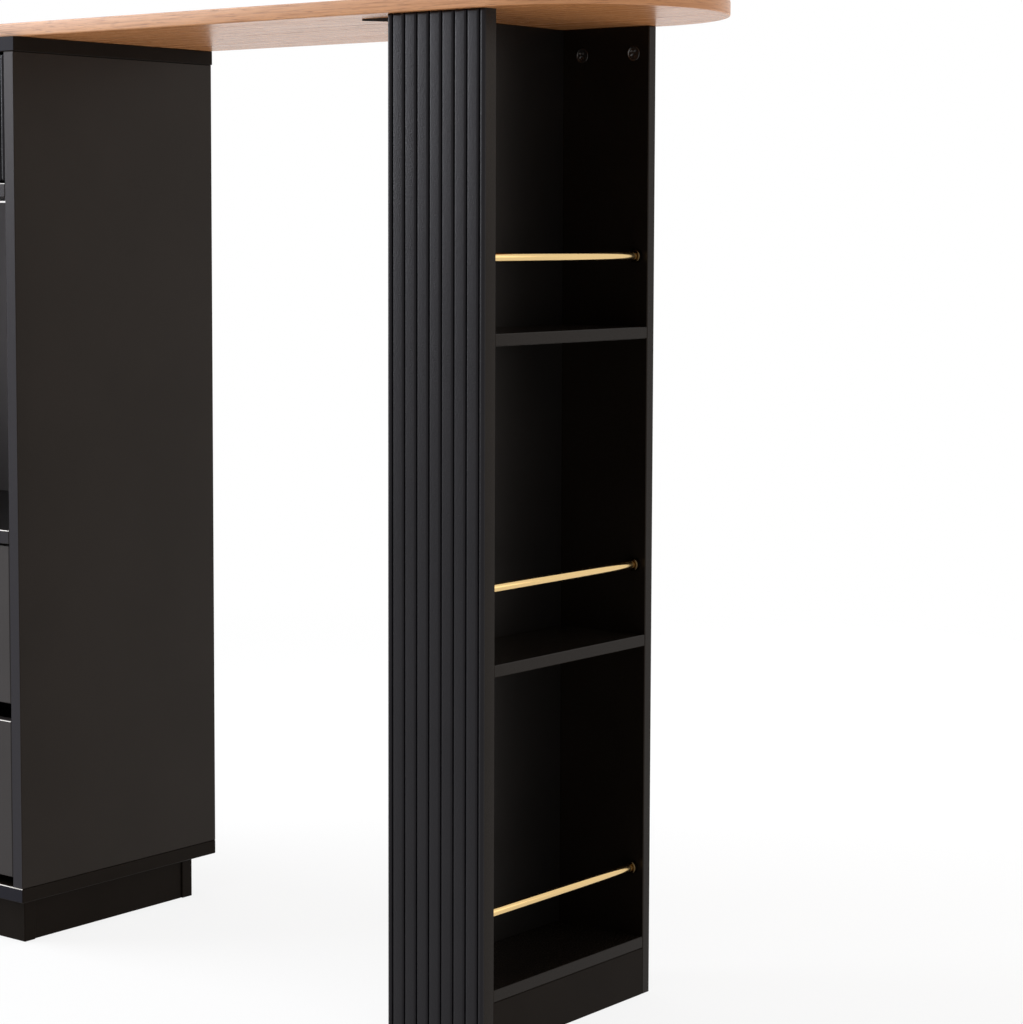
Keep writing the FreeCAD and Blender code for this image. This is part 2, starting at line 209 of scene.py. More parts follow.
# %% [markdown]
# ### Faces that look one way
# A board's front edge wears an edge band, painted lighter and bluer for the light from the front-left, and
# a small chamfer above it is painted pale as a highlight. These places could have material slots of their
# own, but the imported meshes stay as they are. The way a face looks finds them as well: the dot product of
# its normal and a direction is near 1 where the two agree.

# %% The facing group
def make_facing():
    """A mask that is 1 where a face looks along a direction, to within a cosine, and 0 elsewhere."""
    group, given, put = new_group("facing_mask", {"Direction": VECTOR, "Cosine": NUMBER},
                                  {"Mask": NUMBER})
    true_normal = group.nodes.new("ShaderNodeNewGeometry").outputs["True Normal"]
    dot = group.nodes.new("ShaderNodeVectorMath")
    dot.operation = "DOT_PRODUCT"
    group.links.new(true_normal, dot.inputs[0])
    group.links.new(given.outputs["Direction"], dot.inputs[1])
    mask = math_node(group, "GREATER_THAN", dot.outputs["Value"], given.outputs["Cosine"])
    group.links.new(mask, put.inputs["Mask"])
    return group


facing_group = make_facing()
print("group", facing_group.name)


# %% [markdown]
# ### The figure of oak
# The worktop is a board in a light oak print. Oak shows four things, each finer than the last: broad
# bands between paler and warmer wood, long streaks, narrow growth lines and short dark pores. All run
# along the board. A wave texture would give lines that are too even, so each layer is a noise that is
# drawn out along the grain. The pattern reads a UV map, in metres, whose first axis follows the grain.

# %% The oak group
OAK_PALE = (0.61, 0.304, 0.144, 1)
OAK_WARM = (0.54, 0.258, 0.115, 1)
OAK_STREAK = (0.39, 0.158, 0.060, 1)
OAK_LINE = (0.31, 0.118, 0.043, 1)
OAK_PORE = (0.19, 0.068, 0.026, 1)
# cycles per metre along the grain and across it, then the noise's detail and roughness
GRAIN_NOISE = {"band": (1.1, 14.0, 3.0, 0.55), "streak": (1.8, 95.0, 4.0, 0.65),
               "line": (14.0, 520.0, 3.0, 0.6), "pore": (48.0, 1200.0, 2.0, 0.5)}
# the noise values where a layer starts and where it is full
GRAIN_RANGE = {"band": (0.36, 0.64), "streak": (0.46, 0.68), "line": (0.46, 0.66),
               "pore": (0.57, 0.70)}
# each darker layer's colour, its strength there and how deep it is sunk
GRAIN_DARK = {"streak": (OAK_STREAK, 0.34, 0.3), "line": (OAK_LINE, 0.6, 0.25),
              "pore": (OAK_PORE, 0.75, 0.5)}
# a noise mostly stays between these two values
NOISE_RANGE = (0.3, 0.7)
OAK_ROUGHNESS = (0.26, 0.36)


def make_oak():
    """Bands mix two pale tones; each finer layer then mixes in a darker tone and sinks the surface."""
    group, given, put = new_group("oak_figure", {"Vector": VECTOR},
                                  {"Color": COLOUR, "Height": NUMBER, "Roughness": NUMBER})
    noise, mask = {}, {}
    for layer, (along, across, detail, roughness) in GRAIN_NOISE.items():
        drawn_out = stretched(group, given.outputs["Vector"], (along, across, across))
        noise[layer] = noise_node(group, drawn_out, 1.0, detail, roughness)
        mask[layer] = ramp_node(group, noise[layer], *GRAIN_RANGE[layer])
    colour = mix_colour(group, mask["band"], OAK_PALE, OAK_WARM)
    height = 0.0
    for layer, (tone, strength, sunk) in GRAIN_DARK.items():
        colour = mix_colour(group, math_node(group, "MULTIPLY", mask[layer], strength), colour, tone)
        height = math_node(group, "ADD", math_node(group, "MULTIPLY", mask[layer], -sunk), height)
    group.links.new(colour, put.inputs["Color"])
    group.links.new(height, put.inputs["Height"])
    gloss = ramp_node(group, noise["streak"], *NOISE_RANGE, *OAK_ROUGHNESS)
    group.links.new(gloss, put.inputs["Roughness"])
    return group


oak_group = make_oak()
print("group", oak_group.name)


# %% [markdown]
# ## Finishes
# Each finish is one Principled shader with a bump. Its plain numbers are written on the shader's own
# sockets; only what changes over the surface comes in through a link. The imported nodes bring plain
# materials with some of the same names, and Blender then adds a number to a new material's name. So the
# finishes are kept in a dictionary, under the names that are used here.

# %% Helpers for materials
def new_material(name, base, roughness, metallic=0.0, specular=0.5):
    """A material with one Principled shader and its plain values."""
    material = bpy.data.materials.new(name)
    material.use_nodes = True
    shader = material.node_tree.nodes["Principled BSDF"]
    shader.inputs["Base Color"].default_value = (*base, 1)
    shader.inputs["Roughness"].default_value = roughness
    shader.inputs["Metallic"].default_value = metallic
    shader.inputs["Specular IOR Level"].default_value = specular
    return material, material.node_tree, shader


def place_group(tree, group, coordinates, **values):
    """A group node that reads Object or UV coordinates, with its own values."""
    where = tree.nodes.new("ShaderNodeTexCoord")
    node = tree.nodes.new("ShaderNodeGroup")
    node.node_tree = group
    tree.links.new(where.outputs[coordinates], node.inputs["Vector"])
    for socket, value in values.items():
        node.inputs[socket].default_value = value
    return node


def add_bump(tree, shader, height, distance):
    """Shade the surface as if a height of 1 stood out by the distance, in metres."""
    bump = tree.nodes.new("ShaderNodeBump")
    bump.inputs["Distance"].default_value = distance
    bump.inputs["Strength"].default_value = 1.0
    tree.links.new(height, bump.inputs["Height"])
    tree.links.new(bump.outputs["Normal"], shader.inputs["Normal"])


FACING_COSINE = 0.95


def facing(tree, direction):
    """A facing mask in a material: the direction is made a unit vector first."""
    node = tree.nodes.new("ShaderNodeGroup")
    node.node_tree = facing_group
    node.inputs["Direction"].default_value = Vector(direction).normalized()
    node.inputs["Cosine"].default_value = FACING_COSINE
    return node.outputs["Mask"]


print("faces within", round(math.degrees(math.acos(FACING_COSINE))), "degrees of a direction look along it")


# %% [markdown]
# ### The worktop's oak
# On top and round the edge the foil is a pale satin oak. Underneath, a browner, darker colour is painted in
# as shade, with a clear sheen between dull, deep lines. That could be a second material, but then the grain
# would need a second copy too. One facing mask changes the colour, with its painted shade, and the gloss of
# the same figure on the underside alone.

# %% The oak finish
OAK_SATIN, OAK_SPECULAR, OAK_BUMP = 0.3, 0.36, 0.00006
# painted shade: the underside's colour is mixed by this share towards a darker brown
OAK_UNDER_SHADE = (0.54, 0.215, 0.068, 1)
UNDER_SHADE_SHARE = 0.6
UNDER_LINES_FROM, UNDER_LINES_FULL, UNDER_LINES = 0.2, 0.6, 0.95
UNDER_SMOOTHER, UNDER_LINES_DULLER = -0.055, 0.3


def make_oak_finish():
    """The oak group on the UV map; underneath, a painted shade makes it browner and darker, and it is
    glossier between deeper, duller grain lines.
    """
    material, tree, shader = new_material("oak_laminate", OAK_PALE[:3], OAK_SATIN, specular=OAK_SPECULAR)
    oak = place_group(tree, oak_group, "UV")
    underside = facing(tree, (0, 0, -1))
    sunk = math_node(tree, "MULTIPLY", oak.outputs["Height"], -1.0)
    in_lines = ramp_node(tree, sunk, UNDER_LINES_FROM, UNDER_LINES_FULL, 0.0, UNDER_LINES)
    lines = math_node(tree, "MULTIPLY", underside, in_lines)
    # painted shade: the underside is mixed towards the darker brown
    under_shade = math_node(tree, "MULTIPLY", underside, UNDER_SHADE_SHARE)
    colour = mix_colour(tree, under_shade, oak.outputs["Color"], OAK_UNDER_SHADE)
    tree.links.new(mix_colour(tree, lines, colour, OAK_PORE), shader.inputs["Base Color"])
    smoother = math_node(tree, "MULTIPLY", underside, UNDER_SMOOTHER)
    change = math_node(tree, "ADD", math_node(tree, "MULTIPLY", lines, UNDER_LINES_DULLER), smoother)
    tree.links.new(math_node(tree, "ADD", oak.outputs["Roughness"], change), shader.inputs["Roughness"])
    add_bump(tree, shader, oak.outputs["Height"], OAK_BUMP)
    return material


finishes = {"oak_laminate": make_oak_finish()}
print("finish", *finishes)


# %% [markdown]
# ### Foil, paint and plastic
# The boards wear a black foil, the flutes a pebbled paint. Both are almost black: what the eye sees of them
# is their gloss, so the roughness and the specular level matter more than the colour. The foil is smoother
# on the shelves, and duller on the plinth and on the cabinet's top and bottom. Its copies differ in tone as
# painted light: a warmer one stands for the warm light from the right, and a darker warm one for the shade
# on the tower's shelves and back panel. All of these finishes are made by one function, since they differ
# only in numbers, in which front faces carry an edge band painted lighter for the light from the
# front-left, and in which edges carry a painted highlight.

# %% A satin finish
# painted highlight: the pale colour on the upper front chamfer of a board
PAINTED_EDGE_HIGHLIGHT = (0.80, 0.76, 0.71, 1)
FRONT, UPPER_FRONT = (0, -1, 0), (0, -1, 1)
DRIFT_RANGE = (0.35, 0.65)
GLOSS_SPREAD = 0.05


def satin(name, tones, roughness, pebbles, depth, specular=0.5, tint=(1, 1, 1), front=None,
          highlit_edge=False):
    """A satin finish: pebbles, per metre, in the bump and the gloss, and a slow drift between two tones.

    A front colour goes on the faces that look to the front: a board's edge band, painted lighter and bluer
    for the light from the front-left, or the pale painted light on the back sheets. With the edge flag, the
    small chamfer along the upper front edge is painted pale as a highlight.
    """
    material, tree, shader = new_material(name, tones[0], roughness, specular=specular)
    shader.inputs["Specular Tint"].default_value = (*tint, 1)
    pebble = place_group(tree, pebble_group, "Object", Scale=pebbles)
    drift = ramp_node(tree, pebble.outputs["Unevenness"], *DRIFT_RANGE)
    colour = mix_colour(tree, drift, (*tones[0], 1), (*tones[1], 1))
    # the front faces: an edge band painted lighter for the light from the front-left, or painted light
    # alone
    if front:
        colour = mix_colour(tree, facing(tree, FRONT), colour, (*front, 1))
    # painted highlight: the upper front chamfer turns pale
    if highlit_edge:
        colour = mix_colour(tree, facing(tree, UPPER_FRONT), colour, PAINTED_EDGE_HIGHLIGHT)
    tree.links.new(colour, shader.inputs["Base Color"])
    gloss = ramp_node(tree, pebble.outputs["Height"], *NOISE_RANGE, roughness - GLOSS_SPREAD,
                      roughness + GLOSS_SPREAD)
    tree.links.new(gloss, shader.inputs["Roughness"])
    add_bump(tree, shader, pebble.outputs["Height"], depth)
    return material


FOIL_PEBBLES, FOIL_DEPTH, FOIL_TINT = 1500.0, 0.00004, (1.0, 0.86, 0.76)


def foil(name, tones, roughness, specular, **edges):
    """The boards' foil: its pebble and tint are the same everywhere, its gloss and its edges differ."""
    return satin(name, tones, roughness, FOIL_PEBBLES, FOIL_DEPTH, specular, FOIL_TINT, **edges)


print("foil pebbles are", round(1000 / FOIL_PEBBLES, 2), "mm wide")

# %% Foils on the boards
BLACK_FOIL = (0.0042, 0.0040, 0.0040), (0.0056, 0.0052, 0.0052)
# warmer copies of the foil: the first paints the warm light from the right, the second, darker, the shade
# on the tower's shelves and back panel
WARM_LIT_FOIL = (0.0074, 0.0054, 0.0040), (0.0096, 0.0072, 0.0056)
SHADED_WARM_FOIL = (0.0058, 0.0042, 0.0031), (0.0074, 0.0056, 0.0043)
# the front faces: the edge band, painted lighter and bluer for the light from the front-left
EDGE_BAND_AND_LIGHT = (0.0155, 0.0155, 0.021)
SMOOTH, MEDIUM, DULL = 0.24, 0.34, 0.42
foils = {
    "black_laminate": dict(tones=BLACK_FOIL, roughness=MEDIUM, specular=0.2),
    "banded_laminate": dict(tones=WARM_LIT_FOIL, roughness=MEDIUM, specular=0.19, front=EDGE_BAND_AND_LIGHT),
    "bare_edged_laminate": dict(tones=BLACK_FOIL, roughness=SMOOTH, specular=0.22, front=EDGE_BAND_AND_LIGHT,
                                highlit_edge=True),
    "warm_laminate": dict(tones=SHADED_WARM_FOIL, roughness=SMOOTH, specular=0.145),
    "dull_laminate": dict(tones=WARM_LIT_FOIL, roughness=DULL, specular=0.05, front=EDGE_BAND_AND_LIGHT),
    "bare_edged_dull": dict(tones=WARM_LIT_FOIL, roughness=DULL, specular=0.05, front=EDGE_BAND_AND_LIGHT,
                            highlit_edge=True),
    "plinth_laminate": dict(tones=WARM_LIT_FOIL, roughness=DULL, specular=0.04),
}
finishes.update((name, foil(name, **values)) for name, values in foils.items())
print("foils", *foils)

# %% Paint, fronts, back sheets and small parts
FLUTE_PAINT = (0.0044, 0.0043, 0.0054), (0.0058, 0.0056, 0.0068)
FLUTE_TINT = (1.0, 0.95, 1.0)
DRAWER_FRONT = (0.026, 0.0215, 0.0205), (0.031, 0.026, 0.025)
HARDBOARD = (0.017, 0.0155, 0.0155), (0.019, 0.0175, 0.0175)
# painted light: the back sheets' front faces are pale grey where the light from the front falls on them
HARDBOARD_PAINTED_LIGHT = (0.34, 0.32, 0.333)
DRAWER_BOX = (0.006, 0.0058, 0.0058), (0.008, 0.0076, 0.0076)
PLASTIC = (0.012, 0.012, 0.012), (0.016, 0.016, 0.016)
PAINTED_STEEL = (0.011, 0.009, 0.008), (0.015, 0.012, 0.010)
BEECH = (0.52, 0.33, 0.19), (0.60, 0.41, 0.25)
coats = {
    "flute_paint": dict(tones=FLUTE_PAINT, roughness=0.36, pebbles=800.0, depth=0.00027, specular=0.195,
                        tint=FLUTE_TINT),
    "front_laminate": dict(tones=DRAWER_FRONT, roughness=DULL, pebbles=1200.0, depth=FOIL_DEPTH,
                           specular=0.26),
    "bare_edged_front": dict(tones=DRAWER_FRONT, roughness=DULL, pebbles=1200.0, depth=FOIL_DEPTH,
                             specular=0.22, highlit_edge=True),
    "black_hardboard": dict(tones=HARDBOARD, roughness=0.45, pebbles=1100.0, depth=0.00005, specular=0.3,
                            front=HARDBOARD_PAINTED_LIGHT),
    "drawer_board": dict(tones=DRAWER_BOX, roughness=0.4, pebbles=1300.0, depth=0.00004, specular=0.35),
    "black_plastic": dict(tones=PLASTIC, roughness=0.32, pebbles=2600.0, depth=0.00002),
    "black_steel": dict(tones=PAINTED_STEEL, roughness=0.65, pebbles=1800.0, depth=0.00004, specular=0.2),
    "beech": dict(tones=BEECH, roughness=0.6, pebbles=900.0, depth=0.00005),
}
finishes.update((name, satin(name, **values)) for name, values in coats.items())
print("coats", *coats)


# %% [markdown]
# ### Metals
# The rails are gold-coloured bars, the runners rolled steel, the fittings zinc. A metal takes its tint
# from the base colour, and its drawn look from fine streaks along the bar. An anisotropic shader could
# give that too, but streaks in the gloss and a very shallow bump also show close by. Rails and runners
# both lie along Y, so their streaks are drawn out that way.

# %% The metals
ALONG_RAIL, ALONG_RUNNER, EVEN_GRAIN = (700.0, 9.0, 700.0), (600.0, 8.0, 600.0), (500.0, 500.0, 500.0)
SMOOTHER_STREAK, DULLER_STREAK = 0.06, 0.08


def metal(name, base, roughness, grain, depth):
    """A drawn or rolled metal: streaks along the piece vary its gloss and a shallow bump."""
    material, tree, shader = new_material(name, base, roughness, metallic=1.0)
    where = tree.nodes.new("ShaderNodeTexCoord")
    streaks = noise_node(tree, stretched(tree, where.outputs["Object"], grain), 1.0, detail=3.0)
    gloss = ramp_node(tree, streaks, *NOISE_RANGE, roughness - SMOOTHER_STREAK, roughness + DULLER_STREAK)
    tree.links.new(gloss, shader.inputs["Roughness"])
    add_bump(tree, shader, streaks, depth)
    return material


metals = {
    "gold_metal": dict(base=(0.77, 0.54, 0.245), roughness=0.15, grain=ALONG_RAIL, depth=0.000002),
    # painted shade: the cups' gold is darkened for the shade they sit in
    "dark_gold": dict(base=(0.10, 0.068, 0.032), roughness=0.2, grain=EVEN_GRAIN, depth=0.000005),
    "runner_steel": dict(base=(0.56, 0.57, 0.58), roughness=0.34, grain=ALONG_RUNNER, depth=0.00001),
    "cam_zinc": dict(base=(0.13, 0.125, 0.12), roughness=0.34, grain=EVEN_GRAIN, depth=0.00001),
    "zinc_steel": dict(base=(0.60, 0.60, 0.61), roughness=0.3, grain=EVEN_GRAIN, depth=0.00001),
}
finishes.update((name, metal(name, **values)) for name, values in metals.items())
print("metals", *metals)


# %% [markdown]
# ### A finish for each node
# The imported record names a material slot for every node, and most nodes simply take the finish of that
# name. The boards that differ, by a banded front that also carries painted light, a painted highlight on
# the edge, a foil copy with painted warmth or shade, or another gloss, are listed here by their own names.

# %% Give each node its finish
slot_of = {part["node"]: part["material_slot"] for part in frame["record"]["subparts"]}
# some boards take finishes with painted light: a lighter front band, a highlight on the upper front edge,
# or a warmer or darker foil copy
finish_of = dict(slot_of, tower_fluted_front="flute_paint", top_drawer_front="flute_paint",
                 middle_drawer_front="front_laminate", bottom_drawer_front="bare_edged_front",
                 drawer_divider="bare_edged_laminate", niche_shelf="bare_edged_laminate",
                 cabinet_top_panel="dull_laminate", cabinet_bottom_panel="bare_edged_dull",
                 cabinet_left_side="banded_laminate", cabinet_right_side="banded_laminate",
                 tower_base_shelf="warm_laminate", tower_lower_shelf="warm_laminate",
                 tower_upper_shelf="warm_laminate", tower_back_panel="warm_laminate",
                 tower_kick_board="plinth_laminate")
finish_of.update((name, "plinth_laminate") for name in nodes if name.startswith("plinth"))
for name, node in nodes.items():
    node.data.materials.clear()
    node.data.materials.append(finishes[finish_of[name]])
print("finishes in use", sorted(set(finish_of.values())))


# %% [markdown]
# ## The worktop
# One board, square at the cabinet and half-round past the tower, with its edges barely rounded. A Bevel
# modifier could round them, but would leave the UV map to chance. Here the outline is a path with an
# outward direction at each point, and the edge is a small profile carried round that path. The UV map
# runs along the outline on the edge, as an edge band does, and along X on the two faces.

# %% The worktop's outline and edge
EDGE_ROUND, CORNER_ROUND = 0.0014, 0.0016
END_STEPS, CORNER_STEPS, EDGE_POINTS = 96, 6, 6


def worktop_outline(low, high):
    """Points and outward directions: a half circle at one end and two small corner arcs at the other."""
    radius = (high.y - low.y) / 2
    middle = (high.y + low.y) / 2
    arcs = [((high.x - radius, middle), radius, -90, 90, END_STEPS),
            ((low.x + CORNER_ROUND, high.y - CORNER_ROUND), CORNER_ROUND, 90, 180, CORNER_STEPS),
            ((low.x + CORNER_ROUND, low.y + CORNER_ROUND), CORNER_ROUND, 180, 270, CORNER_STEPS)]
    points, outward = [], []
    for centre, size, start, end, steps in arcs:
        turn = np.radians(np.linspace(start, end, steps + 1))
        direction = np.stack([np.cos(turn), np.sin(turn)], axis=-1)
        points.append(np.asarray(centre) + size * direction)
        outward.append(direction)
    return np.concatenate(points), np.concatenate(outward)


def edge_profile(low_z, high_z):
    """How far in and how high each row of the edge lies: a quarter round, a flat band, a quarter round."""
    turn = np.linspace(0, np.pi / 2, EDGE_POINTS)
    inset = EDGE_ROUND * (1 - np.sin(turn))
    rise = EDGE_ROUND * (1 - np.cos(turn))
    return np.concatenate([inset, inset[::-1]]), np.concatenate([low_z + rise, high_z - rise[::-1]])


print("outline points", len(worktop_outline(*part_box("worktop"))[0]))

# %% Make the worktop
# metres across the grain from the underside's figure to the top's and the band's: none repeats
TOP_FIGURE, BAND_FIGURE = 1.0, 2.0
QUAD_CORNERS = ((0, 0), (0, 1), (1, 1), (1, 0))


def grain_map(outline, flat, inset, height):
    """UV of each face corner: along the outline and up the edge on the band, x and y on the faces."""
    rows, columns = flat.shape[:2]
    steps = np.linalg.norm(np.roll(outline, -1, axis=0) - outline, axis=1)
    along = np.concatenate([[0], np.cumsum(steps)])
    up = np.concatenate([[0], np.cumsum(np.hypot(np.diff(inset), np.diff(height)))])
    row, column = np.meshgrid(np.arange(rows - 1), np.arange(columns), indexing="ij")
    band = np.stack([np.stack([along[column + over], up[row + above] + BAND_FIGURE], axis=-1)
                     for above, over in QUAD_CORNERS], axis=-2).reshape(-1, 2)
    return np.concatenate([band, flat[0][::-1], flat[-1] + (0, TOP_FIGURE)])


def make_worktop():
    """The outline drawn in by the edge profile, row by row; the underside and the top close it."""
    low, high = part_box("worktop")
    outline, outward = worktop_outline(low, high)
    inset, height = edge_profile(low.z, high.z)
    flat = outline[None] - inset[:, None, None] * outward[None]
    rows, columns = flat.shape[:2]
    points = np.concatenate([flat, np.broadcast_to(height[:, None, None], (rows, columns, 1))], axis=-1)
    piece = add_piece("oak_worktop", points, capped(rows, columns), "island", "oak_laminate",
                      finishes["oak_laminate"])
    uv = piece.data.uv_layers.new(name="grain")
    uv.data.foreach_set("uv", grain_map(outline, flat, inset, height).ravel())
    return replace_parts(piece, "worktop")


print("worktop faces", len(make_worktop().data.polygons))


# %% [markdown]
# ## The fluted fronts
# The tower's front and the top drawer's front are fibreboard with cut flutes under a matt skin, so every
# edge of the fluted face is soft, while the board's other sides wear the foil of the tower's shelves.
# Bevelling each ridge would be slow and uneven. Instead the cross-section is worked out once, as depths
# behind the face, and carried up the board; near the ends, a quarter round takes over wherever it lies
# deeper.

# %% The fluted section
FLUTE_PITCH, FLUTE_ROUND, FLUTE_FLOOR = 0.0153, 0.0025, 0.0012
FACE_ROUND, OUTER_FLAT = 0.003, 0.0002
QUARTER_TURN = np.linspace(0, np.pi / 2, 8)


def flute_section(width):
    """Places across the board and depths behind its face: a quarter round, the flutes, a quarter round.

    A flute is two quarter circles that fall from the ridges to a narrow floor. The flutes' centres are
    evenly spaced, with the outer two just inside the board's round edges.
    """
    edge = FACE_ROUND * (1 - np.cos(QUARTER_TURN))
    fall = FLUTE_ROUND * (1 - np.cos(QUARTER_TURN))
    reach = FLUTE_FLOOR / 2 + FLUTE_ROUND * (1 - np.sin(QUARTER_TURN))
    margin = FLUTE_FLOOR / 2 + FLUTE_ROUND + OUTER_FLAT + FACE_ROUND
    count = round((width - 2 * margin) / FLUTE_PITCH) + 1
    centres = np.linspace(margin, width - margin, count)[:, None]
    flutes = centres + np.concatenate([-reach, reach[::-1]])
    depths = np.broadcast_to(np.concatenate([fall, fall[::-1]]), flutes.shape)
    across = np.concatenate([edge, flutes.ravel(), width - edge[::-1]])
    return across, np.concatenate([edge[::-1], depths.ravel(), edge])


print("a flute is", round(1000 * (FLUTE_FLOOR + 2 * FLUTE_ROUND), 1), "mm wide")

# %% Make the fluted fronts
BACK_CORNERS = 2
SHARP_ANGLE = math.radians(50)


def fluted_points(low, high):
    """Rows of points round the board, one row per height: across the face, then the two back corners.

    A point of the face lies behind it by the section's depth, or by that of the end round where this is
    greater.
    """
    across, depth = flute_section(high.x - low.x)
    from_end = FACE_ROUND * (1 - np.cos(QUARTER_TURN))
    end_depth = FACE_ROUND * (1 - np.sin(QUARTER_TURN))
    height = np.concatenate([low.z + from_end, high.z - from_end[::-1]])[:, None]
    deepest = np.maximum(depth, np.concatenate([end_depth, end_depth[::-1]])[:, None])
    face = np.stack([np.broadcast_to(low.x + across, deepest.shape), low.y + deepest,
                     np.broadcast_to(height, deepest.shape)], axis=-1)
    back = np.stack([np.column_stack([np.full_like(height, x), np.full_like(height, high.y), height])
                     for x in (high.x, low.x)], axis=1)
    return np.concatenate([face, back], axis=1)


def make_fluted_front(node, body):
    """The fluted face in its paint; the sides, the back and the two ends take the second slot, the foil."""
    points = fluted_points(*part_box(node))
    rows, columns = points.shape[:2]
    piece = add_piece(node + "_ridges", points, capped(rows, columns), body, slot_of[node],
                      finishes[finish_of[node]])
    piece.data.set_sharp_from_angle(angle=SHARP_ANGLE)
    piece.data.materials.append(finishes["warm_laminate"])
    foiled = np.tile(np.arange(columns) >= columns - BACK_CORNERS - 1, rows - 1)
    piece.data.polygons.foreach_set("material_index", np.append(foiled, [True, True]).astype(np.int32))
    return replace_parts(piece, node)


for node, body in (("tower_fluted_front", "island"), ("top_drawer_front", "top_drawer")):
    print("fluted front", node, len(make_fluted_front(node, body).data.polygons), "faces")


# %% [markdown]
# ## Guard rails and their cups
# Each shelf has a gold bar across its open side, held in a round cup on either panel. A plain cylinder
# would give a bar, but bright metal shows a sharp edge at once, so the bar's ends and the cup's rim need
# a small round. Both are turned shapes: a profile of radius against height, carried round an axis.

# %% Helpers for turned shapes
def turned(profile, sides):
    """A turned shape: each (radius, height) of the profile is carried once round the Z axis."""
    profile = np.asarray(profile, float)
    turn = np.linspace(0, 2 * np.pi, sides, endpoint=False)
    x = profile[:, :1] * np.cos(turn)
    y = profile[:, :1] * np.sin(turn)
    z = np.repeat(profile[:, 1:], sides, axis=1)
    return np.stack([x, y, z], axis=-1)


def aimed(points, origin, axis):
    """Local Z is laid along the axis, with X and Y across it, so that faces keep pointing outwards."""
    up = Vector(axis).normalized()
    across = up.orthogonal().normalized()
    basis = np.array([across, up.cross(across), up])
    return np.asarray(origin) + points @ basis


def joined(parts):
    """Points and faces of several shapes as one: each shape's faces count on from the points before it."""
    points, faces, start = [], [], 0
    for part_points, part_faces in parts:
        flat = part_points.reshape(-1, 3)
        points.append(flat)
        faces += [[start + corner for corner in face] for face in part_faces]
        start += len(flat)
    return np.concatenate(points), faces


def quarter(centre_radius, centre_height, size, start, end, steps=5):
    """A piece of a round profile edge, as radius and height, from one angle to another."""
    turn = np.radians(np.linspace(start, end, steps))
    return np.stack([centre_radius + size * np.cos(turn), centre_height + size * np.sin(turn)], axis=-1)


print("a quarter round has", len(quarter(1, 1, 1, 0, 90)), "points")

# %% Make rails and cups
ROUND_SIDES = 64
BAR_END, CUP_RIM, CUP_REACH, CUP_CLEARANCE = 0.0005, 0.0007, 0.006, 0.00015
# the foot of a cup starts at this share of its radius; the flat end fills what is inside
FOOT_SHARE = 0.6


def bar_shape(low, high):
    """A round bar along Y with rounded ends."""
    radius = (high.x - low.x) / 2
    reach = high.y - low.y
    start = quarter(radius - BAR_END, BAR_END, BAR_END, -90, 0)
    end = quarter(radius - BAR_END, reach - BAR_END, BAR_END, 0, 90)
    points = turned(np.concatenate([start, end]), ROUND_SIDES)
    origin = ((low.x + high.x) / 2, low.y, (low.z + high.z) / 2)
    return aimed(points, origin, (0, 1, 0)), capped(*points.shape[:2])


def cup_shape(centre, axis, radius, bore, floor):
    """A cup: out along its foot, up its wall, over a rounded rim and down the bore to the floor."""
    foot = [(radius * FOOT_SHARE, 0), (radius, 0)]
    rim = np.concatenate([quarter(radius - CUP_RIM, CUP_REACH - CUP_RIM, CUP_RIM, 0, 90),
                          quarter(bore + CUP_RIM, CUP_REACH - CUP_RIM, CUP_RIM, 90, 180)])
    points = turned(np.concatenate([foot, rim, [(bore, floor)]]), ROUND_SIDES)
    return aimed(points, centre, axis), capped(*points.shape[:2])


def make_rails():
    """A bar for each guard rail, and all the cups as one piece: a cup at both ends of each bar."""
    low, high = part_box("rail_sockets")
    radius = (high.x - low.x) / 2
    rails = [name for name in nodes if name.endswith("guard_rail")]
    cups = []
    for name in rails:
        rail_low, rail_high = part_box(name)
        bar = add_piece(name.replace("guard", "gold"), *bar_shape(rail_low, rail_high), "island",
                        "gold_metal", finishes["gold_metal"])
        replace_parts(bar, name)
        x, z = (rail_low.x + rail_high.x) / 2, (rail_low.z + rail_high.z) / 2
        bore = (rail_high.x - rail_low.x) / 2 + CUP_CLEARANCE
        floor = rail_low.y - low.y
        for y, side in ((low.y, 1), (high.y, -1)):
            cups.append(cup_shape((x, y, z), (0, side, 0), radius, bore, floor))
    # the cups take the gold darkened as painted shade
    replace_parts(add_piece("rail_cups", *joined(cups), "island", "gold_metal", finishes["dark_gold"]),
                "rail_sockets")
    return rails


print("rails", make_rails())


# %% [markdown]
# ## Cams and screw heads
# The tower is drawn up to the worktop by four cam locks: a disc with a raised rim and a cross recess for
# the screwdriver. The corner brackets have pan-head screws with the same recess. A Boolean could cut the
# cross, but leaves ragged faces. So both are discs whose height is a function of radius and angle: a
# turned outline, less the cross, which is sunk where a point lies within either of its arms.

# %% Helpers for driven discs
DISC_SIDES = 72
# the innermost ring of a disc is this small, and its flat end closes the middle
MIDDLE = 0.00015
# a fitting's lowest ring is drawn in to this share of its radius, out of sight
HIDDEN_SHARE = 0.9
SLOPE_SHARE = 0.1


def smooth_step(value, low, high):
    """Rises from 0 to 1 between two values, without a kink at either."""
    share = np.clip((value - low) / (high - low), 0, 1)
    return share * share * (3 - 2 * share)


def cross_depth(x, y, half_width, reach, depth):
    """Depth of a cross recess: full inside either arm, and sloping out over a tenth of the reach."""
    slope = reach * SLOPE_SHARE

    def arm(across, along):
        """1 inside one arm and 0 outside it."""
        beside = smooth_step(np.abs(across), half_width, half_width + slope)
        beyond = smooth_step(np.abs(along), reach - slope, reach)
        return (1 - beside) * (1 - beyond)

    return depth * np.maximum(arm(x, y), arm(y, x))


def driven_disc(profile, cross):
    """A turned disc with a cross sunk into its top; the profile runs from the foot to the top's middle."""
    points = turned(profile, DISC_SIDES)
    points[..., 2] -= cross_depth(points[..., 0], points[..., 1], *cross)
    return points, capped(*points.shape[:2])


